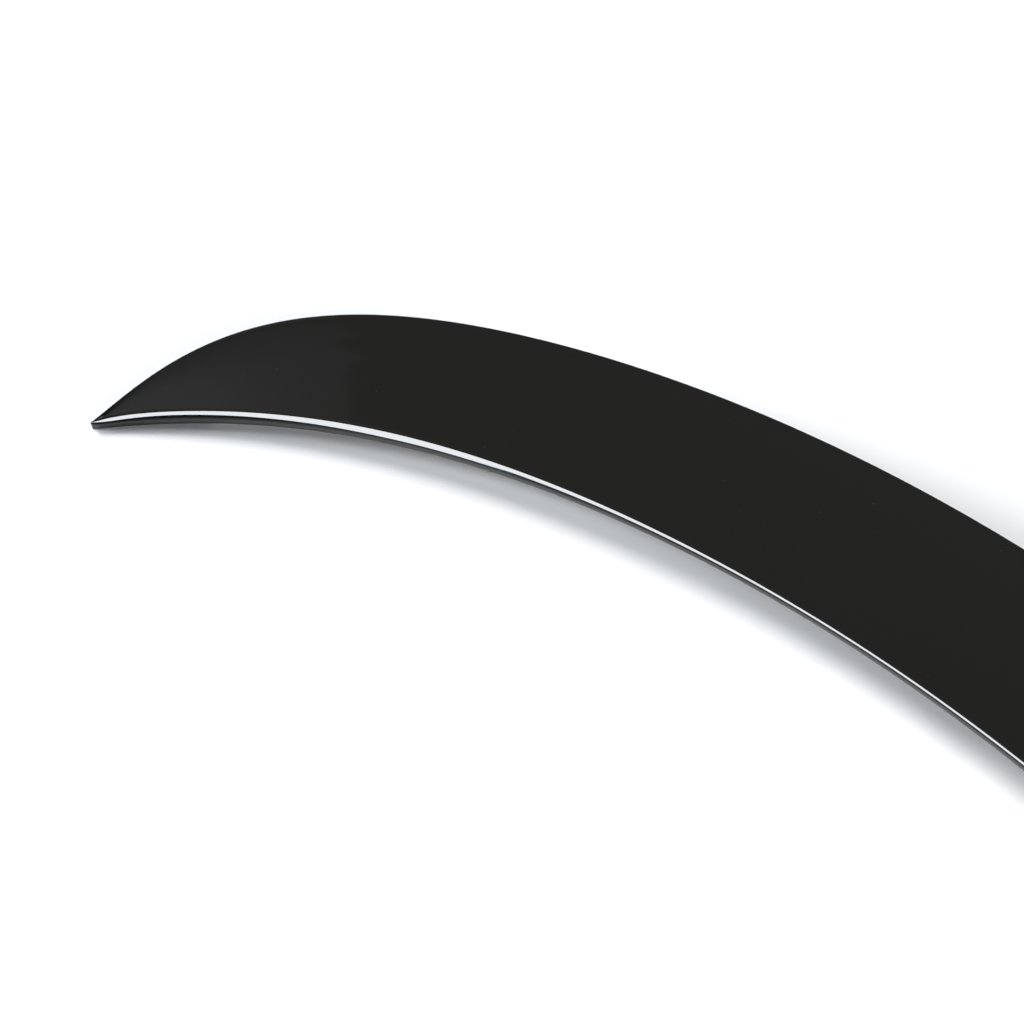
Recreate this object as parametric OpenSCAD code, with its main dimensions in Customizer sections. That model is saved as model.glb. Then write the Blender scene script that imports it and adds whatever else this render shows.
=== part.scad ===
// Boot lid lip spoiler: a bowed blade with pointed tips, moulded as one open shell.
// It lies as it rests on a table, on its two tips and the middle of its rear lower edge.
// X runs along the width, Y from the front edge to the trailing edge, Z up, in millimetres.
// The origin is the middle of the box around the blade, at the table.

/* [Planform] */
// Half of the width, from the middle to the tip of the front edge
half_span = 560.5; // [530:0.5:590]
// How far the tips reach ahead of the middle of the front edge
bow_depth = 212.4; // [190:0.2:230]
// Share of the bow that is kept for the last stretch before the tips
bow_end_share = 0.27; // [0.2:0.01:0.35]
// Chord at the middle, measured square to the front edge
chord_mid = 120; // [110:1:130]
// Chord lost between the middle and the tips, before the tips close
chord_loss = 22.5; // [12:0.5:32]
// How late the chord closes toward the tips, as a power of the span
closing_power = 12.6; // [11:0.2:14]
// Roundness of the closing curve, where 1 is straight into the tip
closing_curve = 1.25; // [1.1:0.05:1.4]
// Chord that is left at the tip, before its nose is rounded
tip_chord = 1.6; // [1.4:0.1:2.4]
// Length of the rounded nose of each tip, measured along the width
nose_length = 3.2; // [2.4:0.2:4.4]

/* [Heights] */
// Height of the front edge over the table at the middle
front_rise = 29.4; // [26:0.2:36]
// Power of the crown that brings the front edge down to the tips
crown_power = 1.98; // [1.8:0.02:2.1]
// Rise of the trailing edge over the front edge at the middle
lip_rise = 14.6; // [12:0.2:18]
// More rise of the trailing edge toward the shoulders
shoulder_gain = 3.4; // [2:0.2:6]
// How late the trailing edge comes down toward the tips, as a power of the span
lip_power = 9.5; // [8.5:0.5:11]
// Height of the tips
tip_height = 6.6; // [6.2:0.1:7.6]
// Arch of the rear lower edge between the middle and the tips
rear_arch = 5; // [4:0.5:7]

/* [Front edge] */
// Upright front face at the middle
face_mid = 3; // [2.4:0.1:3.6]
// Upright front face at the tips
face_tip = 4.4; // [3.8:0.1:4.6]
// Rounding over the front face at the middle
edge_radius_mid = 2.3; // [1.8:0.1:2.8]
// Rounding over the front face from the shoulders to the tips, where it is fullest
edge_radius_shoulder = 6.2; // [5:0.2:7.4]
// Distance from the middle at which the rounding has done about two thirds of its growth
rounding_reach = 325; // [290:5:360]
// How suddenly the rounding grows there, as a power of the distance
rounding_growth = 3; // [2.4:0.2:3.6]
// Rounding of the lower edges, front and rear
lower_edge_radius = 0.8; // [0.5:0.1:1]

/* [Trailing edge] */
// Radius of the rounded trailing edge
lip_radius = 2; // [1.6:0.1:2.4]
// Slope of the top at the trailing edge, over its mean slope
lip_kick = 2.6; // [2:0.1:3]
// How far the trailing edge stands back over the rear lower edge
overhang = 20; // [16:1:24]
// Angle that the rear face tucks in under the trailing edge
undercut = 50; // [40:1:55]

/* [Shell] */
// Wall of the moulding
wall = 3; // [2.6:0.1:3.4]
// Width of the lands that carry the tape, front and rear
land_width = 14; // [13.6:0.2:16]
// Thickness of the rear land
flange_thickness = 3; // [2.8:0.1:3.6]
// Length of each tip that is left solid, measured along the width
solid_tip = 39; // [34:1:50]
// Ribs across the hollow
rib_count = 13; // [11:2:15]
// Thickness of a rib where it meets the top skin
rib_root = 2.4; // [2:0.1:2.8]
// Thickness of a rib at its free edge
rib_edge = 1.6; // [1.2:0.1:1.8]
// How far the ribs reach down past the top of the rear land, which they stand on
rib_reach = 1; // [0.6:0.1:1.6]
// Height of the long rib under the top skin
spine_height = 7; // [5:0.5:9]

/* [Tape] */
// Width of the foam tape
tape_width = 10; // [9:0.2:10.4]
// Thickness of the foam tape
tape_thickness = 1.2; // [1:0.1:1.6]
// Thickness of the release liner on the tape
liner_thickness = 0.2; // [0.15:0.05:0.3]
// Liner that stands past the tape at each side
liner_margin = 0.6; // [0.4:0.1:0.8]
// Pull tab of the liner past the outer end of the tape
liner_tab = 12; // [8:1:16]
// Depth of the shallow channel that the tape sits in
channel_depth = 0.8; // [0.6:0.1:1]
// Land that is left between the channel and the outer edge
channel_inset = 1.8; // [1.6:0.1:2.2]
// Clearance between the tape and its channel
tape_clearance = 0.1; // [0.05:0.05:0.2]
// Where the front tape starts, from the middle of the blade
front_tape_start = 10; // [6:1:30]
// How far the front tape stops short of the tip, measured along the width
front_tape_stop = 70; // [60:5:120]
// Where the rear tape starts, from the middle of the blade
rear_tape_start = 95; // [90:1:120]
// How far the rear tape stops short of the tip, measured along the width
rear_tape_stop = 80; // [70:5:130]

/* [Hidden] */

blade_colour = [0.03, 0.03, 0.032];
tape_colour = [0.2, 0.2, 0.21];
liner_colour = [0.82, 0.8, 0.74];

// Steps along the half width, round the nose of a tip, round each part of a section, along
// each cell between two ribs, across the roof of the hollow, and along each tape
span_steps = 30;
nose_steps = 4;
rounding_steps = 5;
top_steps = 8;
lip_steps = 5;
rear_steps = 5;
cell_steps = 4;
roof_steps = 5;
tape_steps = 30;
// The stations crowd toward the tips by this power
crowding = 1.5;
// The nose stops short of a closed point at this angle
nose_end_angle = 80;
// Steepest slope of the top at the trailing edge
steepest_kick = 0.45;
// Near the tips the roundings shrink with the section: the front one to these shares of the chord and
// of the height over the front face, the lower edges and the trailing edge to shares of the chord
chord_share = 0.62;
height_share = 0.9;
lower_radius_share = 0.2;
lip_radius_share = 0.25;
// The trailing edge's centre lies in from its back and its top by these shares of its radius
lip_in_share = 0.8;
lip_down_share = 0.6;
// The rear face bends this near to its foot, within this share of its height, and a little early
bend_share = 0.15;
deepest_share = 0.6;
early_share = 0.85;
// The middle of a lower edge's rounding, as a share of its radius in from the corner
corner_share = 0.3;
// The hollow's front wall leans this far, and its roof ends this many walls before the trailing edge
// and under this share of the overhang
hollow_lean = 1;
roof_end_ratio = 2.5;
overhang_share = 0.5;
// How far the long rib's stations are set off from the hollow's, as a share of a step
set_off_share = 0.25;
// Cutters reach this far past what they cut
past = 2;
// Size of the tiny blocks that a rib's hull is stretched over
speck = 0.01;

// Where the noses start and the hollow ends, as shares of the half width
nose_from = 1 - nose_length / half_span;
hollow_end = 1 - solid_tip / half_span;
// Where the tapes end, from the middle of the blade
front_tape_end = half_span - front_tape_stop;
rear_tape_end = half_span - rear_tape_stop;

// The smaller of two lengths, with a smooth change between them
function soft_min(p, q) = pow(pow(p, -4) + pow(q, -4), -0.25);

// Stations from the left tip to the right tip, as shares of the half width
half_stations = concat(
    [for (i = [0 : span_steps]) nose_from * (1 - pow(1 - i / span_steps, crowding))],
    [for (i = [1 : nose_steps]) nose_from + (1 - nose_from) * sin(nose_end_angle * i / nose_steps)]);
stations = concat(
    [for (i = [len(half_stations) - 1 : -1 : 1]) -half_stations[i]],
    half_stations);

// Front edge: its line in plan, its sweep and its height
function lead_y(s) = -bow_depth * ((1 - bow_end_share) * pow(s, 2) + bow_end_share * pow(s, 6));
function sweep(s) =
    atan(bow_depth * (2 * (1 - bow_end_share) * s + 6 * bow_end_share * pow(s, 5)) / half_span);
function lead_z(s) = front_rise * (1 - pow(abs(s), crown_power));

// Chord, height of the trailing edge and sizes of the front edge at a station
function chord(s) = tip_chord
    + (chord_mid - chord_loss * s * s - tip_chord) * pow(1 - pow(abs(s), closing_power), closing_curve);
function lip(s) = tip_height
    + (lip_rise + shoulder_gain * s * s - tip_height) * (1 - pow(abs(s), lip_power));
function face(s) = face_mid + (face_tip - face_mid) * pow(s, 4);
function edge_radius(s) = edge_radius_mid + (edge_radius_shoulder - edge_radius_mid)
    * (1 - exp(-pow(abs(s) * half_span / rounding_reach, rounding_growth)));
function rounding_depth(s) = soft_min(edge_radius(s), chord_share * chord(s));
function rounding_height(s) =
    soft_min(edge_radius(s), height_share * (lip(s) - face(s)));
function crest(s) = face(s) + rounding_height(s);
function lower_radius(s) = soft_min(lower_edge_radius, lower_radius_share * chord(s));

// Trailing edge: its radius, its centre and the point where the top runs into it
function lip_round(s) = soft_min(lip_radius, lip_radius_share * chord(s));
function lip_centre(s) =
    [chord(s) - lip_in_share * lip_round(s), lip(s) - lip_down_share * lip_round(s)];
function kick_slope(s) = let (c = lip_centre(s))
    soft_min(lip_kick * (c[1] + lip_round(s) - crest(s)) / (c[0] - rounding_depth(s)), steepest_kick);
function lip_start(s) = let (t = atan(kick_slope(s)))
    lip_centre(s) + lip_round(s) * [-sin(t), cos(t)];
function tuck(s) = undercut * chord(s) / chord_mid;
function lip_finish(s) = lip_centre(s) + lip_round(s) * [cos(tuck(s)), -sin(tuck(s))];

// Top of the blade over the front edge's line, at a distance back from that line
function top(s, d) = let (
    run = lip_start(s)[0] - rounding_depth(s),
    u = (d - rounding_depth(s)) / run,
    rise = lip_start(s)[1] - crest(s))
    crest(s) + rise * u * u * (3 - 2 * u) + kick_slope(s) * run * u * u * (u - 1);

// Rear lower edge and the straight underside between the two lower edges, over the table
function rear_depth(s) = chord(s) - overhang * chord(s) / chord_mid;
function rear_z(s) = let (crown = s * s) 4 * rear_arch * crown * (1 - crown);
function under_z(s, d) = lead_z(s) + (rear_z(s) - lead_z(s)) * d / rear_depth(s);

// Rear face: a curve that tucks in under the trailing edge and stands upright at its foot
function rear_face(s, u) = let (
    from = lip_finish(s),
    to = [rear_depth(s), rear_z(s) - lead_z(s) + lower_radius(s)],
    reach = from[0] - to[0],
    drop = early_share * reach / tan(max(tuck(s), 1)),
    corner = [to[0] + bend_share * reach, from[1] - min(drop, deepest_share * (from[1] - to[1]))])
    (1 - u) * (1 - u) * from + 2 * u * (1 - u) * corner + u * u * to;

// How much a section shrinks about its middle, round the nose of a tip
function nose(s) = abs(s) <= nose_from ? 1 :
    sqrt(max(0, 1 - pow((abs(s) - nose_from) / (1 - nose_from), 2)));
function narrowed(s, p) = [chord(s) / 2 + (p[0] - chord(s) / 2) * nose(s), p[1]];

// A point of a section, given as distance back and height, put in space
function place(s, p) = let (t = sweep(s))
    [half_span * s + p[0] * sin(t), lead_y(s) + p[0] * cos(t), p[1]];

// One section of the blade: from the front lower edge over the top to the rear lower edge
function blade_section(s) = let (
    low = lower_radius(s),
    kick = 90 + atan(kick_slope(s)),
    from = rounding_depth(s),
    run = lip_start(s)[0] - from,
    foot = [rear_depth(s), rear_z(s) - lead_z(s)])
    concat(
        [[low, 0], corner_share * [low, low], [0, low]],
        [for (i = [0 : rounding_steps]) let (t = 90 * i / rounding_steps)
            [from * (1 - cos(t)), face(s) + rounding_height(s) * sin(t)]],
        [for (i = [1 : top_steps - 1]) let (d = from + run * i / top_steps) [d, top(s, d)]],
        [for (i = [0 : lip_steps]) let (t = kick - (kick + tuck(s)) * i / lip_steps)
            lip_centre(s) + lip_round(s) * [cos(t), sin(t)]],
        [for (i = [1 : rear_steps]) rear_face(s, i / rear_steps)],
        [foot + corner_share * [-low, low], foot + [-low, 0]]);

function blade_ring(s) = [for (p = blade_section(s)) place(s, narrowed(s, p + [0, lead_z(s)]))];

rings = [for (s = stations) blade_ring(s)];
depths = [for (ring = rings) for (p = ring) p[1]];
middle_y = (min(depths) + max(depths)) / 2;
rib_pitch = 2 * hollow_end / (rib_count + 1);

// Stations of the hollow, with one at the middle of each rib
station_step = rib_pitch / cell_steps;
half_cells = cell_steps * (rib_count + 1) / 2;
hollow_stations = [for (i = [-half_cells : half_cells]) station_step * i];
// Stations of the long rib, set off from the hollow's, so that no edge of one crosses an edge of
// the other
spine_stations = concat(
    [for (i = [half_cells : -1 : 0]) -station_step * (i + set_off_share)],
    [for (i = [0 : half_cells]) station_step * (i + set_off_share)]);

// One section of the hollow, open at the underside between the two lands
function hollow_section(s) = let (
    z = lead_z(s),
    front = land_width,
    back = rear_depth(s) - land_width,
    inner_wall = rear_depth(s) - wall,
    roof = front + hollow_lean,
    far = chord(s) - roof_end_ratio * wall - overhang_share * overhang * chord(s) / chord_mid,
    run = far - roof,
    mid_height = (z + top(s, far) - wall + under_z(s, inner_wall)) / 2)
    concat(
        [[front, under_z(s, front) - past], [front, under_z(s, front) + wall]],
        [for (i = [0 : roof_steps]) let (d = roof + run * i / roof_steps) [d, z + top(s, d) - wall]],
        [[inner_wall, mid_height + hollow_lean],
         [inner_wall, under_z(s, inner_wall) + flange_thickness],
         [back, under_z(s, back) + flange_thickness],
         [back, under_z(s, back) - past]]);

// A long channel or strip under the blade: from and to are distances back, low and high are
// heights over the underside
function strip_section(s, from, to, low, high) = [
    [from, under_z(s, from) + low],
    [from, under_z(s, from) + high],
    [to, under_z(s, to) + high],
    [to, under_z(s, to) + low]];

// Solid through a row of closed sections that all have the same number of points
module loft(sections) {
    n = len(sections[0]);
    last = len(sections) - 1;
    polyhedron(
        points = [for (ring = sections) for (p = ring) p],
        faces = concat(
            [for (i = [0 : last - 1]) for (j = [0 : n - 1]) let (k = (j + 1) % n)
                [i * n + j, i * n + k, (i + 1) * n + k]],
            [for (i = [0 : last - 1]) for (j = [0 : n - 1]) let (k = (j + 1) % n)
                [i * n + j, (i + 1) * n + k, (i + 1) * n + j]],
            [[for (j = [n - 1 : -1 : 0]) j], [for (j = [0 : n - 1]) last * n + j]]),
        convexity = 6);
}

// Everything is drawn about the front edge and then moved onto the origin
module in_frame() {
    translate([0, -middle_y, 0]) children();
}

module hollow() {
    loft([for (s = hollow_stations) [for (p = hollow_section(s)) place(s, p)]]);
}

// A rib stands across the hollow, thick at the top skin and thin at its free edge
module rib(s) {
    front = land_width - past;
    back = chord(s);
    translate([half_span * s, lead_y(s), 0])
        rotate([0, 0, -sweep(s)])
            hull() {
                for (d = [front, back]) {
                    translate([-rib_edge / 2, d, under_z(s, d) + flange_thickness - rib_reach])
                        cube([rib_edge, speck, speck]);
                    translate([-rib_root / 2, d, lead_z(s) + lip(s) + past])
                        cube([rib_root, speck, speck]);
                }
            }
}

// The long rib follows the middle of the hollow under the top skin
module spine() {
    loft([for (s = spine_stations) let (d = chord(s) / 2, z = lead_z(s) + top(s, d) - wall)
        [for (p = [[d - rib_edge / 2, z - spine_height], [d - rib_root / 2, z + past],
                   [d + rib_root / 2, z + past], [d + rib_edge / 2, z - spine_height]]) place(s, p)]]);
}

// Shallow channel for one tape, past the ends of the tape by its clearance
module channel(from, to, front) {
    margin = tape_clearance / half_span;
    loft([for (i = [0 : tape_steps])
        let (s = from / half_span - margin + ((to - from) / half_span + 2 * margin) * i / tape_steps,
             d = tape_front(s, front))
        [for (p = strip_section(s, d - tape_clearance, d + tape_width + tape_clearance,
                                -past, channel_depth)) place(s, p)]]);
}

// Where the front side of a tape lies, back from the front edge
function tape_front(s, front) = front ? channel_inset + tape_clearance
    : rear_depth(s) - channel_inset - tape_clearance - tape_width;

module both_sides() {
    children();
    mirror([1, 0, 0]) children();
}

module spoiler_blade() {
    color(blade_colour)
        in_frame()
            difference() {
                loft(rings);
                difference() {
                    hollow();
                    for (i = [1 : rib_count]) rib(-hollow_end + rib_pitch * i);
                    spine();
                }
                both_sides() {
                    channel(front_tape_start, front_tape_end, true);
                    channel(rear_tape_start, rear_tape_end, false);
                }
            }
}

// Stations of a tape on the right half, between two places across the width
function tape_stations(from, to) =
    [for (i = [0 : tape_steps]) (from + (to - from) * i / tape_steps) / half_span];

// One strip under the right half, through the given stations
module strip(strip_stations, front, margin, low, high) {
    in_frame()
        loft([for (s = strip_stations) let (d = tape_front(s, front))
            [for (p = strip_section(s, d - margin, d + tape_width + margin, low, high)) place(s, p)]]);
}

tape_top = channel_depth - tape_clearance;
liner_top = tape_top - tape_thickness - tape_clearance;

module tape(from, to, front) {
    color(tape_colour)
        strip(tape_stations(from, to), front, 0, tape_top - tape_thickness, tape_top);
}

// The liner bends with its tape and then runs on into its pull tab
module liner(from, to, front) {
    color(liner_colour)
        strip(concat(tape_stations(from, to), [(to + liner_tab) / half_span]), front,
              liner_margin, liner_top - liner_thickness, liner_top);
}

module front_tape_right() {
    tape(front_tape_start, front_tape_end, true);
}

module front_tape_left() {
    mirror([1, 0, 0]) front_tape_right();
}

module rear_tape_right() {
    tape(rear_tape_start, rear_tape_end, false);
}

module rear_tape_left() {
    mirror([1, 0, 0]) rear_tape_right();
}

module front_liner_right() {
    liner(front_tape_start, front_tape_end, true);
}

module front_liner_left() {
    mirror([1, 0, 0]) front_liner_right();
}

module rear_liner_right() {
    liner(rear_tape_start, rear_tape_end, false);
}

module rear_liner_left() {
    mirror([1, 0, 0]) rear_liner_right();
}

spoiler_blade();
front_tape_left();
front_tape_right();
rear_tape_left();
rear_tape_right();
front_liner_left();
front_liner_right();
rear_liner_left();
rear_liner_right();
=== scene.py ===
import math

import bmesh
import bpy
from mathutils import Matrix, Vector


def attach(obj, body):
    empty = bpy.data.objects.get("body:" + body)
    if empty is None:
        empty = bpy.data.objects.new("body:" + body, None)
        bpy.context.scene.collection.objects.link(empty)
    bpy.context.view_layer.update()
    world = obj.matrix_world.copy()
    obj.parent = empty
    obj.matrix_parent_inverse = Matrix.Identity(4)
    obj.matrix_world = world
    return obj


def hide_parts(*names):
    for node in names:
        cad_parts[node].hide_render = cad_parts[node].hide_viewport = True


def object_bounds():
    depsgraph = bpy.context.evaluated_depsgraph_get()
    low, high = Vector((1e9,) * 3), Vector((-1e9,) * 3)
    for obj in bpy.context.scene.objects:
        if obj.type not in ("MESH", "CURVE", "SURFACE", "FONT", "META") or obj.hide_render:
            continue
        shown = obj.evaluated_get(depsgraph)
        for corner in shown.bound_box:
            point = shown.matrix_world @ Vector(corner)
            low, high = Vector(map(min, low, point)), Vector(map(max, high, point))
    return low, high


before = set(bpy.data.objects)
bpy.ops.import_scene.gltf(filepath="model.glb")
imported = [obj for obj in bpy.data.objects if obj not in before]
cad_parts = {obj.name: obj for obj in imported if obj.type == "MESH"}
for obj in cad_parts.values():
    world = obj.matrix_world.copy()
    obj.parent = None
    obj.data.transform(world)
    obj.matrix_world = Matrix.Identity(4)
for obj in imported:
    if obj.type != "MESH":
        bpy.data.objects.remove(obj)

CAD_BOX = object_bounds()
MM = 0.001

# Blade, with the driving sizes of the part's source, in millimetres and radians
HALF_SPAN = 560.5
BOW_DEPTH = 212.4
BOW_END_SHARE = 0.27
CHORD_MID = 120.0
CHORD_LOSS = 22.5
CLOSING_POWER = 12.6
CLOSING_CURVE = 1.25
TIP_CHORD = 1.6
NOSE_LENGTH = 3.2
FRONT_RISE = 29.4
CROWN_POWER = 1.98
LIP_RISE = 14.6
SHOULDER_GAIN = 3.4
LIP_POWER = 9.5
TIP_HEIGHT = 6.6
REAR_ARCH = 5.0
FACE_MID = 3.0
FACE_TIP = 4.4
EDGE_RADIUS_MID = 2.3
EDGE_RADIUS_SHOULDER = 6.2
ROUNDING_REACH = 325.0
ROUNDING_GROWTH = 3.0
LOWER_EDGE_RADIUS = 0.8
LIP_RADIUS = 2.0
LIP_KICK = 2.6
STEEPEST_KICK = 0.45
OVERHANG = 20.0
UNDERCUT = math.radians(50)
WALL = 3.0
LAND_WIDTH = 14.0
FLANGE_THICKNESS = 3.0
SOLID_TIP = 39.0
RIB_COUNT = 13
RIB_ROOT = 2.4
RIB_EDGE = 1.6
RIB_REACH = 1.0
SPINE_HEIGHT = 7.0
TAPE_WIDTH = 10.0
CHANNEL_DEPTH = 0.8
CHANNEL_INSET = 1.8
TAPE_CLEARANCE = 0.1
# Where the tapes start and stop, outward from the middle
FRONT_TAPE = (10.0, HALF_SPAN - 70)
REAR_TAPE = (95.0, HALF_SPAN - 80)
# The shares that the part's source has for the roundings near the tips, for the trailing edge's
# centre and for the bend of the rear face
CHORD_SHARE = 0.62
HEIGHT_SHARE = 0.9
LOWER_RADIUS_SHARE = 0.2
LIP_RADIUS_SHARE = 0.25
LIP_IN_SHARE = 0.8
LIP_DOWN_SHARE = 0.6
BEND_SHARE = 0.15
DEEPEST_SHARE = 0.6
EARLY_SHARE = 0.85
# The hollow's walls lean by this much, and its roof ends this many walls in from the trailing edge
# and under this share of the overhang
HOLLOW_LEAN = 1.0
ROOF_END_RATIO = 2.5
OVERHANG_SHARE = 0.5
# How far cutters reach past what they cut
PAST = 2.0
# Where the noses start and the hollow ends, as shares of the half width
NOSE_FROM = 1 - NOSE_LENGTH / HALF_SPAN
HOLLOW_END = 1 - SOLID_TIP / HALF_SPAN
# The last section of a nose, as an angle around its rounding
NOSE_END = math.radians(80)
RIGHT_ANGLE = math.pi / 2
LEAST_TUCK = math.radians(1)
BLEND_POWER = 4

# Mesh steps, finer than the part's source. The sections crowd toward the tips by a power, and the
# long rib's are set off from the hollow's by a share of a step.
SPAN_STEPS = 110
CROWDING = 1.5
NOSE_STEPS = 8
ROUNDING_STEPS = 14
TOP_STEPS = 30
LIP_STEPS = 12
REAR_STEPS = 12
CORNER_STEPS = 4
CELL_STEPS = 8
ROOF_STEPS = 9
SPINE_SET_OFF = 0.25
CHANNEL_STEPS = 60
SHARP_ANGLE = math.radians(28)


def soft_min(p, q):
    """Smooth blend of two lengths, that follows the smaller one."""
    return (p ** -BLEND_POWER + q ** -BLEND_POWER) ** (-1 / BLEND_POWER)


def lead_y(s):
    return -BOW_DEPTH * ((1 - BOW_END_SHARE) * s ** 2 + BOW_END_SHARE * s ** 6)


def sweep(s):
    slope = 2 * (1 - BOW_END_SHARE) * s + 6 * BOW_END_SHARE * s ** 5
    return math.atan(BOW_DEPTH * slope / HALF_SPAN)


def lead_z(s):
    return FRONT_RISE * (1 - abs(s) ** CROWN_POWER)


def chord(s):
    full = CHORD_MID - CHORD_LOSS * s * s - TIP_CHORD
    return TIP_CHORD + full * (1 - abs(s) ** CLOSING_POWER) ** CLOSING_CURVE


def lip(s):
    full = LIP_RISE + SHOULDER_GAIN * s * s - TIP_HEIGHT
    return TIP_HEIGHT + full * (1 - abs(s) ** LIP_POWER)


def face(s):
    return FACE_MID + (FACE_TIP - FACE_MID) * s ** 4


def edge_radius(s):
    fullness = 1 - math.exp(-(abs(s) * HALF_SPAN / ROUNDING_REACH) ** ROUNDING_GROWTH)
    return EDGE_RADIUS_MID + (EDGE_RADIUS_SHOULDER - EDGE_RADIUS_MID) * fullness


def rounding_depth(s):
    return soft_min(edge_radius(s), CHORD_SHARE * chord(s))


def rounding_height(s):
    return soft_min(edge_radius(s), HEIGHT_SHARE * (lip(s) - face(s)))


def crest(s):
    return face(s) + rounding_height(s)


def lower_radius(s):
    return soft_min(LOWER_EDGE_RADIUS, LOWER_RADIUS_SHARE * chord(s))


def lip_round(s):
    return soft_min(LIP_RADIUS, LIP_RADIUS_SHARE * chord(s))


def lip_centre(s):
    return chord(s) - LIP_IN_SHARE * lip_round(s), lip(s) - LIP_DOWN_SHARE * lip_round(s)


def kick_slope(s):
    depth, height = lip_centre(s)
    mean = (height + lip_round(s) - crest(s)) / (depth - rounding_depth(s))
    return soft_min(LIP_KICK * mean, STEEPEST_KICK)


def on_lip(s, angle):
    depth, height = lip_centre(s)
    return depth + lip_round(s) * math.cos(angle), height + lip_round(s) * math.sin(angle)


def lip_start_angle(s):
    return RIGHT_ANGLE + math.atan(kick_slope(s))


def tuck(s):
    return UNDERCUT * chord(s) / CHORD_MID


def top(s, d):
    """Height of the top over the front edge's line, at a distance back from it."""
    start = on_lip(s, lip_start_angle(s))
    run = start[0] - rounding_depth(s)
    u = (d - rounding_depth(s)) / run
    rise = start[1] - crest(s)
    return crest(s) + rise * u * u * (3 - 2 * u) + kick_slope(s) * run * u * u * (u - 1)


def rear_depth(s):
    return chord(s) - OVERHANG * chord(s) / CHORD_MID


def rear_z(s):
    return 4 * REAR_ARCH * s * s * (1 - s * s)


def under_z(s, d):
    return lead_z(s) + (rear_z(s) - lead_z(s)) * d / rear_depth(s)


def rear_face(s, u):
    """Point of the rear face, from the trailing edge at u 0 to its foot at u 1."""
    start = on_lip(s, -tuck(s))
    foot = (rear_depth(s), rear_z(s) - lead_z(s) + lower_radius(s))
    reach = start[0] - foot[0]
    drop = EARLY_SHARE * reach / math.tan(max(tuck(s), LEAST_TUCK))
    drop = min(drop, DEEPEST_SHARE * (start[1] - foot[1]))
    corner = (foot[0] + BEND_SHARE * reach, start[1] - drop)
    weights = (1 - u) ** 2, 2 * u * (1 - u), u * u
    return tuple(
        weights[0] * start[k] + weights[1] * corner[k] + weights[2] * foot[k] for k in (0, 1))


def nose(s):
    if abs(s) <= NOSE_FROM:
        return 1.0
    return math.sqrt(max(0.0, 1 - ((abs(s) - NOSE_FROM) / (1 - NOSE_FROM)) ** 2))


def place(s, depth, height):
    """A section's point in space, in metres, with the front edge's middle above the origin."""
    turn = sweep(s)
    x = HALF_SPAN * s + depth * math.sin(turn)
    y = lead_y(s) + depth * math.cos(turn)
    return Vector((x, y, height)) * MM


def arc(centre, radius, start, end, steps):
    angles = [start + (end - start) * i / steps for i in range(steps + 1)]
    return [(centre[0] + radius * math.cos(t), centre[1] + radius * math.sin(t)) for t in angles]


def blade_section(s):
    """Closed section, from the front lower edge over the top to the rear lower edge."""
    low = lower_radius(s)
    depth, height = rounding_depth(s), rounding_height(s)
    run = on_lip(s, lip_start_angle(s))[0] - depth
    foot = (rear_depth(s), rear_z(s) - lead_z(s))
    points = arc((low, low), low, 3 * RIGHT_ANGLE, 2 * RIGHT_ANGLE, CORNER_STEPS)
    for i in range(ROUNDING_STEPS + 1):
        t = RIGHT_ANGLE * i / ROUNDING_STEPS
        points.append((depth * (1 - math.cos(t)), face(s) + height * math.sin(t)))
    for i in range(1, TOP_STEPS):
        d = depth + run * i / TOP_STEPS
        points.append((d, top(s, d)))
    points += arc(lip_centre(s), lip_round(s), lip_start_angle(s), -tuck(s), LIP_STEPS)
    points += [rear_face(s, i / REAR_STEPS) for i in range(1, REAR_STEPS)]
    points += arc((foot[0] - low, foot[1] + low), low, 0, -RIGHT_ANGLE, CORNER_STEPS)
    return points


def blade_ring(s):
    middle = chord(s) / 2
    return [place(s, middle + (d - middle) * nose(s), z + lead_z(s)) for d, z in blade_section(s)]


def blade_stations():
    half = [NOSE_FROM * (1 - (1 - i / SPAN_STEPS) ** CROWDING) for i in range(SPAN_STEPS + 1)]
    for i in range(1, NOSE_STEPS + 1):
        half.append(NOSE_FROM + (1 - NOSE_FROM) * math.sin(NOSE_END * i / NOSE_STEPS))
    return [-s for s in reversed(half[1:])] + half


def hollow_ring(s):
    z = lead_z(s)
    front = LAND_WIDTH
    back = rear_depth(s) - LAND_WIDTH
    inner = rear_depth(s) - WALL
    roof = front + HOLLOW_LEAN
    far = chord(s) - ROOF_END_RATIO * WALL - OVERHANG_SHARE * OVERHANG * chord(s) / CHORD_MID
    points = [(front, under_z(s, front) - PAST), (front, under_z(s, front) + WALL)]
    for i in range(ROOF_STEPS + 1):
        d = roof + (far - roof) * i / ROOF_STEPS
        points.append((d, z + top(s, d) - WALL))
    shelf = under_z(s, inner)
    points.append((inner, (z + top(s, far) - WALL + shelf) / 2 + HOLLOW_LEAN))
    points += [(inner, shelf + FLANGE_THICKNESS), (back, under_z(s, back) + FLANGE_THICKNESS)]
    points.append((back, under_z(s, back) - PAST))
    return [place(s, *p) for p in points]


def spine_ring(s):
    d = chord(s) / 2
    z = lead_z(s) + top(s, d) - WALL
    low, high = z - SPINE_HEIGHT, z + PAST
    half_edge, half_root = RIB_EDGE / 2, RIB_ROOT / 2
    points = [(d - half_edge, low), (d - half_root, high)]
    points += [(d + half_root, high), (d + half_edge, low)]
    return [place(s, *p) for p in points]


def tape_front(s, front):
    if front:
        return CHANNEL_INSET + TAPE_CLEARANCE
    return rear_depth(s) - CHANNEL_INSET - TAPE_CLEARANCE - TAPE_WIDTH


def channel_ring(s, front):
    near = tape_front(s, front) - TAPE_CLEARANCE
    far = near + TAPE_WIDTH + 2 * TAPE_CLEARANCE
    return [
        place(s, near, under_z(s, near) - PAST), place(s, near, under_z(s, near) + CHANNEL_DEPTH),
        place(s, far, under_z(s, far) + CHANNEL_DEPTH), place(s, far, under_z(s, far) - PAST)]


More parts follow.
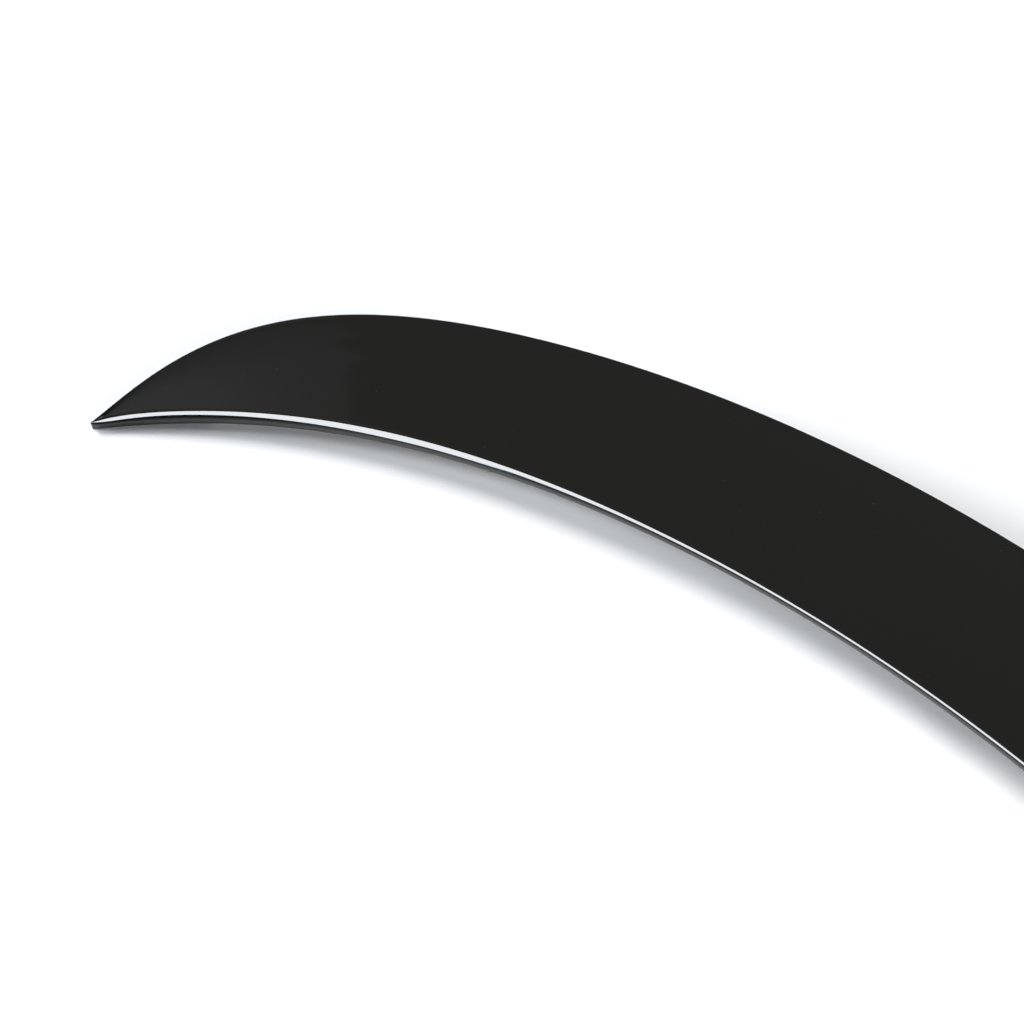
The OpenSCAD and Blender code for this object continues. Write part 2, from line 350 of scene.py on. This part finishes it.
def add_loft(bm, rings):
    """Closed skin through rows of points that all have the same number of points."""
    rows = [[bm.verts.new(p) for p in ring] for ring in rings]
    count = len(rings[0])
    for low, high in zip(rows, rows[1:]):
        for j in range(count):
            k = (j + 1) % count
            bm.faces.new((low[j], high[j], high[k], low[k]))
    bm.faces.new(rows[0])
    bm.faces.new(list(reversed(rows[-1])))


def mesh_object(name, bm):
    bmesh.ops.recalc_face_normals(bm, faces=bm.faces)
    mesh = bpy.data.meshes.new(name)
    bm.to_mesh(mesh)
    bm.free()
    piece = bpy.data.objects.new(name, mesh)
    bpy.context.scene.collection.objects.link(piece)
    return piece


def even_stations(start, end, steps):
    return [start + (end - start) * i / steps for i in range(steps + 1)]


def add_rib(bm, s):
    """A rib across the hollow, thick at the top skin and thin at its free edge."""
    turn = sweep(s)
    along = Vector((math.cos(turn), -math.sin(turn), 0)) * MM
    rows = []
    for d in (LAND_WIDTH - PAST, chord(s)):
        low = place(s, d, under_z(s, d) + FLANGE_THICKNESS - RIB_REACH)
        high = place(s, d, lead_z(s) + lip(s) + PAST)
        rows.append([low - along * RIB_EDGE / 2, high - along * RIB_ROOT / 2,
                     high + along * RIB_ROOT / 2, low + along * RIB_EDGE / 2])
    add_loft(bm, rows)


def cut(target, cutter):
    """Takes the cutter out of the target for good."""
    modifier = target.modifiers.new("cut", "BOOLEAN")
    modifier.operation = "DIFFERENCE"
    modifier.solver = "MANIFOLD"
    modifier.object = cutter
    depsgraph = bpy.context.evaluated_depsgraph_get()
    result = bpy.data.meshes.new_from_object(target.evaluated_get(depsgraph))
    target.modifiers.clear()
    old = target.data
    target.data = result
    bpy.data.meshes.remove(old)
    bpy.data.objects.remove(cutter)


def build_hollow():
    bm = bmesh.new()
    cells = RIB_COUNT + 1
    stations = even_stations(-HOLLOW_END, HOLLOW_END, CELL_STEPS * cells)
    add_loft(bm, [hollow_ring(s) for s in stations])
    hollow = mesh_object("hollow_cutter", bm)
    pitch = 2 * HOLLOW_END / cells
    for i in range(1, RIB_COUNT + 1):
        bm = bmesh.new()
        add_rib(bm, -HOLLOW_END + pitch * i)
        cut(hollow, mesh_object("rib_cutter", bm))
    bm = bmesh.new()
    step = stations[1] - stations[0]
    half = [step * (i + SPINE_SET_OFF) for i in range(CELL_STEPS * cells // 2 + 1)]
    add_loft(bm, [spine_ring(s) for s in [-s for s in reversed(half)] + half])
    cut(hollow, mesh_object("spine_cutter", bm))
    return hollow


def build_channels():
    bm = bmesh.new()
    margin = TAPE_CLEARANCE / HALF_SPAN
    for ends, front in ((FRONT_TAPE, True), (REAR_TAPE, False)):
        start, end = ends[0] / HALF_SPAN - margin, ends[1] / HALF_SPAN + margin
        for a, b in ((start, end), (-end, -start)):
            add_loft(bm, [channel_ring(s, front) for s in even_stations(a, b, CHANNEL_STEPS)])
    return mesh_object("channel_cutter", bm)


def build_blade():
    """The blade's mesh, centred as the part is, and how far that moved it along Y."""
    bm = bmesh.new()
    add_loft(bm, [blade_ring(s) for s in blade_stations()])
    blade = mesh_object("blade_shell", bm)
    cut(blade, build_hollow())
    cut(blade, build_channels())
    vertices = blade.data.vertices
    depths = [v.co.y for v in vertices]
    shift = -(min(depths) + max(depths)) / 2
    for vertex in vertices:
        vertex.co.y += shift
    # The finer curves bulge past the part's facets by less than 0.1 mm
    inward = Vector([CAD_BOX[1][axis] / max(v.co[axis] for v in vertices) for axis in range(3)])
    for vertex in vertices:
        vertex.co *= inward
    blade.data.polygons.foreach_set("use_smooth", [True] * len(blade.data.polygons))
    blade.data.set_sharp_from_angle(angle=SHARP_ANGLE)
    return blade, shift


def new_material(name, finish):
    """Material with a Principled shader that has the finish's values on its sockets."""
    material = bpy.data.materials.new(name)
    material.use_nodes = True
    tree = material.node_tree
    tree.nodes.clear()
    shader = tree.nodes.new("ShaderNodeBsdfPrincipled")
    for socket, value in finish.items():
        shader.inputs[socket].default_value = value
    output = tree.nodes.new("ShaderNodeOutputMaterial")
    tree.links.new(shader.outputs["BSDF"], output.inputs["Surface"])
    return material, tree, shader


def object_noise(tree, scale, detail):
    place_node = tree.nodes.new("ShaderNodeTexCoord")
    noise = tree.nodes.new("ShaderNodeTexNoise")
    noise.inputs["Scale"].default_value = scale
    noise.inputs["Detail"].default_value = detail
    tree.links.new(place_node.outputs["Object"], noise.inputs["Vector"])
    return noise.outputs["Fac"]


def add_bump(tree, height, strength, distance):
    bump = tree.nodes.new("ShaderNodeBump")
    bump.inputs["Strength"].default_value = strength
    bump.inputs["Distance"].default_value = distance
    tree.links.new(height, bump.inputs["Height"])
    return bump.outputs["Normal"]


def add_tones(tree, value, low, low_colour, high, high_colour):
    """Colour that changes from one tone to another between two values."""
    tone = tree.nodes.new("ShaderNodeValToRGB")
    first, last = tone.color_ramp.elements
    first.position, first.color = low, (*low_colour, 1)
    last.position, last.color = high, (*high_colour, 1)
    tree.links.new(value, tone.inputs["Fac"])
    return tone.outputs["Color"]


# Gloss black: the tones of the plastic and of a speck of dust, the specks' grid per metre and their
# size as shares of a cell, and the scale, strength and depth in metres of the coat's orange peel
GLOSS_FINISH = {"Roughness": 0.06, "IOR": 1.5, "Coat Weight": 0.6, "Coat Roughness": 0.02}
BLACK = (0.0156, 0.0156, 0.0143)
DUST = (0.05, 0.048, 0.045)
DUST_GRID = 70.0
DUST_SIZE = (0.015, 0.03)
PEEL_SCALE = 220.0
PEEL_BUMP = (0.02, 0.0002)
# Foam and film: the noise's scale per metre and its detail, where its two tones lie, the tones, and
# the bump's strength and depth in metres
FOAM_FINISH = {"Roughness": 0.9}
FOAM_NOISE = (1600.0, 4.0)
FOAM_RANGE = (0.35, 0.7)
FOAM_TONES = ((0.014, 0.014, 0.015), (0.05, 0.05, 0.053))
FOAM_BUMP = (0.5, 0.0003)
FILM_FINISH = {"Roughness": 0.38}
FILM_NOISE = (60.0, 3.0)
FILM_RANGE = (0.3, 0.75)
FILM_TONES = ((0.55, 0.53, 0.46), (0.68, 0.66, 0.59))
FILM_BUMP = (0.25, 0.0006)


def gloss_black():
    """Black plastic under clear coat, with a trace of orange peel and a few specks of dust."""
    material, tree, shader = new_material("gloss_black_coat", GLOSS_FINISH)
    peel = object_noise(tree, PEEL_SCALE, detail=1.0)
    tree.links.new(add_bump(tree, peel, *PEEL_BUMP), shader.inputs["Coat Normal"])
    coordinates = tree.nodes.new("ShaderNodeTexCoord")
    cells = tree.nodes.new("ShaderNodeTexVoronoi")
    cells.inputs["Scale"].default_value = DUST_GRID
    tree.links.new(coordinates.outputs["Object"], cells.inputs["Vector"])
    tone = add_tones(tree, cells.outputs["Distance"], DUST_SIZE[0], DUST, DUST_SIZE[1], BLACK)
    tree.links.new(tone, shader.inputs["Base Color"])
    return material


def noisy_material(name, finish, noise, values, tones, bump):
    """Material with two tones and a bump that follow one noise."""
    material, tree, shader = new_material(name, finish)
    level = object_noise(tree, *noise)
    tone = add_tones(tree, level, values[0], tones[0], values[1], tones[1])
    tree.links.new(tone, shader.inputs["Base Color"])
    tree.links.new(add_bump(tree, level, *bump), shader.inputs["Normal"])
    return material


def foam():
    """Charcoal acrylic foam with fine open cells along its cut edges."""
    return noisy_material(
        "foam_tape_cells", FOAM_FINISH, FOAM_NOISE, FOAM_RANGE, FOAM_TONES, FOAM_BUMP)


def liner_film():
    """Pale release film with faint waves and a slight change of tone."""
    return noisy_material(
        "pale_release_film", FILM_FINISH, FILM_NOISE, FILM_RANGE, FILM_TONES, FILM_BUMP)


def dress(piece, material):
    piece.data.materials.clear()
    piece.data.materials.append(material)


def dress_node(node, material):
    """Puts the material on the object's own slots of a CAD node, which keeps its mesh."""
    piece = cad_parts[node]
    for material_slot in piece.material_slots:
        material_slot.link = "OBJECT"
        material_slot.material = material


# Floor in metres, its tone for all but camera rays, and how slanted rays that mirror it fade to a
# share of that tone. That fade is painted shade, which darkens the floor far off in reflections.
FLOOR_SIZE = 8.0
FLOOR_FINISH = {"Roughness": 0.9, "Specular IOR Level": 0.0}
FLOOR_TONE = 0.8
FLOOR_FADE = (0.25, 0.9)
FLOOR_FAR = 0.35


def add_math(tree, operation, *inputs):
    node = tree.nodes.new("ShaderNodeMath")
    node.operation = operation
    for socket, value in zip(node.inputs, inputs):
        if isinstance(value, (int, float)):
            socket.default_value = value
        else:
            tree.links.new(value, socket)
    return node.outputs[0]


def ramp_between(tree, value, low, high):
    """0 where the value is at low, 1 where it is at high, and smooth between the two."""
    node = tree.nodes.new("ShaderNodeMapRange")
    node.interpolation_type = "SMOOTHSTEP"
    tree.links.new(value, node.inputs["Value"])
    node.inputs["From Min"].default_value = min(low, high)
    node.inputs["From Max"].default_value = max(low, high)
    node.inputs["To Min"].default_value = 0.0 if low < high else 1.0
    node.inputs["To Max"].default_value = 1.0 if low < high else 0.0
    return node.outputs[0]


def build_floor():
    """Pale floor, white to the camera where no shadow falls, and darkened far off in reflections by
    painted shade.
    """
    bm = bmesh.new()
    bmesh.ops.create_grid(bm, x_segments=2, y_segments=2, size=FLOOR_SIZE / 2)
    floor = mesh_object("floor", bm)
    material, tree, shader = new_material("pale_floor", FLOOR_FINISH)
    path = tree.nodes.new("ShaderNodeLightPath")
    seen, reflected = path.outputs["Is Camera Ray"], path.outputs["Is Glossy Ray"]
    slant = tree.nodes.new("ShaderNodeLayerWeight").outputs["Facing"]
    # Painted shade: rays that mirror the floor at a slant see its tone fall to a share of it
    fade = add_math(tree, "MULTIPLY", ramp_between(tree, slant, *FLOOR_FADE), 1.0 - FLOOR_FAR)
    fade = add_math(tree, "SUBTRACT", 1.0, add_math(tree, "MULTIPLY", fade, reflected))
    level = add_math(tree, "MULTIPLY_ADD", seen, 1.0 - FLOOR_TONE, FLOOR_TONE)
    level = add_math(tree, "MULTIPLY", level, fade)
    grey = tree.nodes.new("ShaderNodeCombineColor")
    for socket in grey.inputs[:3]:
        tree.links.new(level, socket)
    tree.links.new(grey.outputs[0], shader.inputs["Base Color"])
    dress(floor, material)


# Strengths of the even light, of the dark room in reflections and of the softbox
AMBIENT = 0.03
CEILING = 0.012
SOFTBOX = 13.5
# Elevations of the softbox's lower edge in degrees: left of the middle, below the window beside
# it and to the right of that, each with the turns from straight ahead where one gives way
BOX_LOW_LEFT = 17.0
BOX_LOW_RIGHT = 51.0
WINDOW_LEFT = (-1.5, 2)
WINDOW_RIGHT = (5.5, 19)
BOX_EDGE = 2.0
# The upper edge is level: a direction's forward part over its upward part, outside and inside it
BOX_TOP = (0.28, 0.33)
BOX_SIDE = (66, 58)
# Left of a slanted line the softbox is dimmer: where the line starts, its slope, its blur and
# the dimmer part's share of the full strength. Sideways and forward parts over the upward part.
BOX_LEFT = -0.47
BOX_LEFT_SLOPE = 0.17
BOX_LEFT_REACH = 1.5
BOX_LEFT_BLUR = 0.04
BOX_DIM = 0.2
# Cool cast in red and green, all over and along the softbox's lower edge, with the heights over
# that edge where the stronger cast starts and stops
COOL = (0.06, 0.035)
COOL_EDGE = (0.45, 0.2)
COOL_REACH = (5, -1)
COOL_STOP = (-4, -2)
# Faint light below a low elevation
HORIZON = (5, 1)
HORIZON_TONE = 0.25
# Dim wall behind on the left, with a wavy edge, and the brighter part of it further out. It fills
# the directions that lean backward, with a blur.
BACKDROP = (0.43, 0.445)
BACKDROP_TONE = 0.06
BACKDROP_FAR = (0.45, 0.75)
BACKDROP_FAR_TONE = 0.09
BACKDROP_WAVE = 0.07
BACKDROP_WAVE_SCALE = 14.0
BACKDROP_LEAN = (0.1, 0.0)
# Keeps a direction's parts over its upward part finite
LEAST_UP = 0.001


def build_world():
    """White to the camera, and an even soft light for the rest. Reflections show a tall softbox in
    front, a dark room above, a dim wall behind and a faint horizon."""
    world = bpy.data.worlds.new("studio")
    bpy.context.scene.world = world
    world.use_nodes = True
    tree = world.node_tree
    tree.nodes.clear()
    toward = tree.nodes.new("ShaderNodeTexCoord").outputs["Generated"]
    split = tree.nodes.new("ShaderNodeSeparateXYZ")
    tree.links.new(toward, split.inputs[0])
    x, y, z = split.outputs
    height = add_math(tree, "DEGREES", add_math(tree, "ARCSINE", z))
    ahead = add_math(tree, "MULTIPLY", y, -1.0)
    turn = add_math(tree, "DEGREES", add_math(tree, "ARCTAN2", x, ahead))
    side = add_math(tree, "ABSOLUTE", turn)
    left_part = ramp_between(tree, turn, *reversed(WINDOW_LEFT))
    right_part = ramp_between(tree, turn, *WINDOW_RIGHT)
    low = add_math(tree, "MULTIPLY", left_part, BOX_LOW_LEFT)
    low = add_math(tree, "MULTIPLY_ADD", right_part, BOX_LOW_RIGHT, low)
    over = add_math(tree, "SUBTRACT", height, low)
    up = add_math(tree, "MAXIMUM", z, LEAST_UP)
    lean = add_math(tree, "DIVIDE", ahead, up)
    box = add_math(tree, "MULTIPLY", ramp_between(tree, over, -BOX_EDGE / 2, BOX_EDGE / 2),
                   ramp_between(tree, lean, *BOX_TOP))
    box = add_math(tree, "MULTIPLY", box, ramp_between(tree, side, *BOX_SIDE))
    across = add_math(tree, "DIVIDE", x, up)
    line = add_math(tree, "MINIMUM", lean, BOX_LEFT_REACH)
    line = add_math(tree, "MULTIPLY_ADD", line, BOX_LEFT_SLOPE, BOX_LEFT)
    inside = add_math(tree, "SUBTRACT", across, line)
    inside = ramp_between(tree, inside, -BOX_LEFT_BLUR, BOX_LEFT_BLUR)
    share = add_math(tree, "MULTIPLY_ADD", inside, 1.0 - BOX_DIM, BOX_DIM)
    box = add_math(tree, "MULTIPLY", box, share)
    horizon = add_math(tree, "MULTIPLY", ramp_between(tree, height, *HORIZON), HORIZON_TONE)
    gleam = add_math(tree, "MULTIPLY_ADD", box, SOFTBOX, CEILING)
    gleam = add_math(tree, "ADD", gleam, horizon)
    waves = tree.nodes.new("ShaderNodeTexNoise")
    waves.inputs["Scale"].default_value = BACKDROP_WAVE_SCALE
    tree.links.new(toward, waves.inputs["Vector"])
    outward = add_math(tree, "SUBTRACT", lean, across)
    outward = add_math(tree, "MULTIPLY_ADD", waves.outputs[0], BACKDROP_WAVE, outward)
    wall = add_math(tree, "MULTIPLY", ramp_between(tree, outward, *BACKDROP), BACKDROP_TONE)
    far_wall = ramp_between(tree, outward, *BACKDROP_FAR)
    wall = add_math(tree, "MULTIPLY_ADD", far_wall, BACKDROP_FAR_TONE, wall)
    gleam = add_math(tree, "MULTIPLY_ADD", wall, ramp_between(tree, lean, *BACKDROP_LEAN), gleam)
    path = tree.nodes.new("ShaderNodeLightPath")
    glossy = path.outputs["Is Glossy Ray"]
    seen = path.outputs["Is Camera Ray"]
    plain = add_math(tree, "MULTIPLY_ADD", seen, 1.0 - AMBIENT, AMBIENT)
    rest = add_math(tree, "MULTIPLY", plain, add_math(tree, "SUBTRACT", 1.0, glossy))
    strength = add_math(tree, "MULTIPLY_ADD", glossy, gleam, rest)
    edge = add_math(tree, "MULTIPLY", ramp_between(tree, over, *COOL_REACH),
                    ramp_between(tree, over, *COOL_STOP))
    edge = add_math(tree, "MULTIPLY", edge, ramp_between(tree, side, *BOX_SIDE))
    colour = tree.nodes.new("ShaderNodeCombineColor")
    colour.inputs["Blue"].default_value = 1.0
    for channel, cast, edge_cast in zip(("Red", "Green"), COOL, COOL_EDGE):
        taken = add_math(tree, "MULTIPLY_ADD", edge, edge_cast, cast)
        taken = add_math(tree, "MULTIPLY", taken, glossy)
        tree.links.new(add_math(tree, "SUBTRACT", 1.0, taken), colour.inputs[channel])
    background = tree.nodes.new("ShaderNodeBackground")
    tree.links.new(colour.outputs[0], background.inputs["Color"])
    tree.links.new(strength, background.inputs["Strength"])
    output = tree.nodes.new("ShaderNodeOutputWorld")
    tree.links.new(background.outputs[0], output.inputs["Surface"])


# A card that stands behind the front edge's rounding and glows for reflections alone, though it is
# no lamp, so that the top doesn't mirror the softbox when it is seen from behind. Its front paints
# a dark reflection, as dark as the room and a little lighter at the ends. Its back is grey, with a
# light band that paints a highlight band on the top. Lengths are in millimetres, the ends are
# shares of the half width, and the wing is the part past the right tip.
CARD_GAP = 0.8
CARD_THICKNESS = 0.1
CARD_LIFT = 1.2
CARD_HEIGHT = 260.0
CARD_ENDS = (-0.97, 0.99)
CARD_WING = 120.0
CARD_STEPS = 80
CARD_TONE = 0.15
CARD_BAND = 0.3
CARD_BAND_LOW = (12, 38)
CARD_BAND_HIGH = (75, 42)
CARD_END = (360, 440)
CARD_END_TONE = 0.08


def add_card(shift, name, gap):
    """A tall glowing sheet along the front edge, and past its right tip, that only reflections
    show.
    """
    bm = bmesh.new()
    rows = []
    for s in even_stations(*CARD_ENDS, CARD_STEPS):
        depth = rounding_depth(s) + gap
        foot = lead_z(s) + top(s, depth) + CARD_LIFT
        points = [place(s, depth, foot + rise) for rise in (0.0, CARD_HEIGHT)]
        rows.append([bm.verts.new(point + Vector((0, shift, 0))) for point in points])
    turn = sweep(CARD_ENDS[1])
    wing = Vector((math.cos(turn), -math.sin(turn), 0)) * CARD_WING * MM
    rows.append([bm.verts.new(vertex.co + wing) for vertex in rows[-1]])
    for a, b in zip(rows, rows[1:]):
        bm.faces.new((a[0], b[0], b[1], a[1]))
    card = mesh_object(name, bm)
    material = bpy.data.materials.new(name)
    material.use_nodes = True
    tree = material.node_tree
    tree.nodes.clear()
    split = tree.nodes.new("ShaderNodeSeparateXYZ")
    tree.links.new(tree.nodes.new("ShaderNodeTexCoord").outputs["Object"], split.inputs[0])
    glow = tree.nodes.new("ShaderNodeEmission")
    output = tree.nodes.new("ShaderNodeOutputMaterial")
    tree.links.new(glow.outputs[0], output.inputs["Surface"])
    dress(card, material)
    for rays in ("camera", "diffuse", "transmission", "shadow", "volume_scatter"):
        setattr(card, "visible_" + rays, False)
    return tree, split, glow


def build_card(shift):
    """The card's dark front, which paints a dark reflection, and its grey back, which paints a grey
    sheen with a highlight band.
    """
    tree, split, glow = add_card(shift, "card_front", CARD_GAP)
    reach = add_math(tree, "MULTIPLY", add_math(tree, "ABSOLUTE", split.outputs["X"]), 1 / MM)
    end = ramp_between(tree, reach, *CARD_END)
    # Painted reflection: the front glows as dark as the room, a little lighter at the ends
    tone = add_math(tree, "MULTIPLY_ADD", end, CARD_END_TONE, CEILING)
    tree.links.new(tone, glow.inputs["Strength"])
    tree, split, glow = add_card(shift, "card_back", CARD_GAP + CARD_THICKNESS)
    height = add_math(tree, "MULTIPLY", split.outputs["Z"], 1 / MM)
    band = add_math(tree, "MULTIPLY", ramp_between(tree, height, *CARD_BAND_LOW),
                    ramp_between(tree, height, *CARD_BAND_HIGH))
    # Painted highlight: a light band across the grey back
    tone = add_math(tree, "MULTIPLY_ADD", band, CARD_BAND, CARD_TONE)
    tree.links.new(tone, glow.inputs["Strength"])


# Each light as its strength, its spread in degrees, the direction toward it and its colour. The
# fill lights are a little cool, and so is the shadow of the key light.
WHITE = (1.0, 1.0, 1.0)
COOL_WHITE = (0.95, 0.99, 1.06)
LIGHTS = {
    "key": (3.8, 24, (-0.846, -0.083, 0.526), WHITE),
    "low": (3.27, 16, (-0.772, -0.559, 0.303), COOL_WHITE),
    "side": (0.85, 18, (0.902, -0.058, 0.427), COOL_WHITE),
}


def build_lights():
    """Soft lights from the left, the front left and the right, which reflections leave out."""
    for name, (strength, spread, toward, colour) in LIGHTS.items():
        lamp = bpy.data.lights.new(name, "SUN")
        lamp.color = colour
        lamp.energy = strength
        lamp.angle = math.radians(spread)
        holder = bpy.data.objects.new(name, lamp)
        holder.rotation_euler = Vector(toward).to_track_quat("Z", "Y").to_euler()
        holder.visible_glossy = False
        bpy.context.scene.collection.objects.link(holder)


# Camera, fitted to the two long edges of the blade in the photograph
CAMERA_PLACE = (62.4, -425.7, 695.7)
CAMERA_TURN = math.radians(-44.62)
CAMERA_DIP = math.radians(53.35)
FOCAL_PIXELS = 1300.0
IMAGE_PIXELS = 1024.0
SENSOR = 36.0


def build_camera(shift):
    data = bpy.data.cameras.new("camera")
    data.sensor_width = SENSOR
    data.lens = FOCAL_PIXELS / IMAGE_PIXELS * SENSOR
    camera = bpy.data.objects.new("camera", data)
    camera.location = Vector(CAMERA_PLACE) * MM + Vector((0, shift, 0))
    look = Vector((math.sin(CAMERA_TURN) * math.cos(CAMERA_DIP),
                   math.cos(CAMERA_TURN) * math.cos(CAMERA_DIP), -math.sin(CAMERA_DIP)))
    camera.rotation_euler = look.to_track_quat("-Z", "Y").to_euler()
    bpy.context.scene.collection.objects.link(camera)
    bpy.context.scene.camera = camera


blade, shift = build_blade()
dress(blade, gloss_black())
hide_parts("spoiler_blade")
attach(blade, "root")

foam_material = foam()
film_material = liner_film()
for run in ("front", "rear"):
    for side in ("left", "right"):
        dress_node(f"{run}_tape_{side}", foam_material)
        dress_node(f"{run}_liner_{side}", film_material)

build_floor()
build_world()
build_card(shift)
build_lights()
build_camera(shift)
bpy.context.scene.view_settings.view_transform = "Standard"
